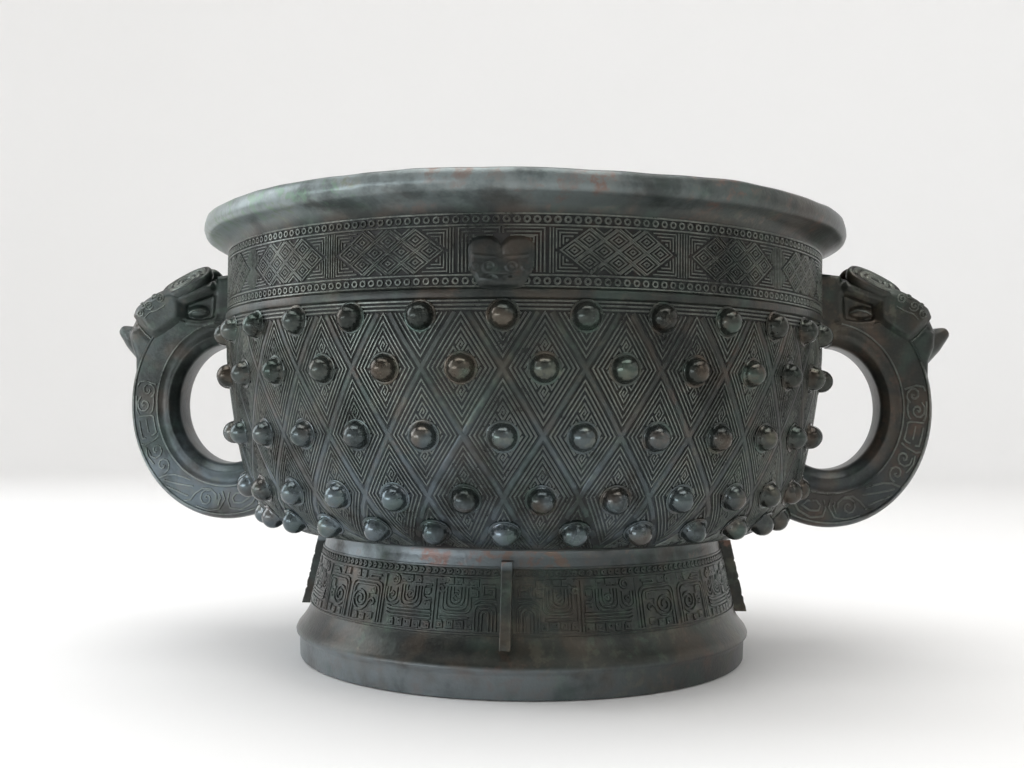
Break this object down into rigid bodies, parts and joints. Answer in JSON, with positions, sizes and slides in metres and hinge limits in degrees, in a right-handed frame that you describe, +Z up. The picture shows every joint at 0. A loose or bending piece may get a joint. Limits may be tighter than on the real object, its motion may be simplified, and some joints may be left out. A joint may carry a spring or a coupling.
{
  "type": "bronze ritual food vessel",
  "caption": "Round cast bronze gui bowl on a flanged ring foot, with pearl bosses over a lozenge field, a banded neck with small masks, and loop handles with horned animal heads.",
  "frame": {"origin": "centre of the ring foot's underside, on the vessel's upright axis", "axes": "+Z up, +X through a handle, -Y through the mask on the front"},
  "size_m": [0.3218, 0.2396, 0.159],
  "materials": {
    "bronze": "old cast bronze with a dark grey-green to near-black patina, worn smooth and faintly glossy, with reddish-brown and pale green patches"
  },
  "bodies": {
    "root": {"gui_vessel": "bronze"}
  },
  "joints": []
}
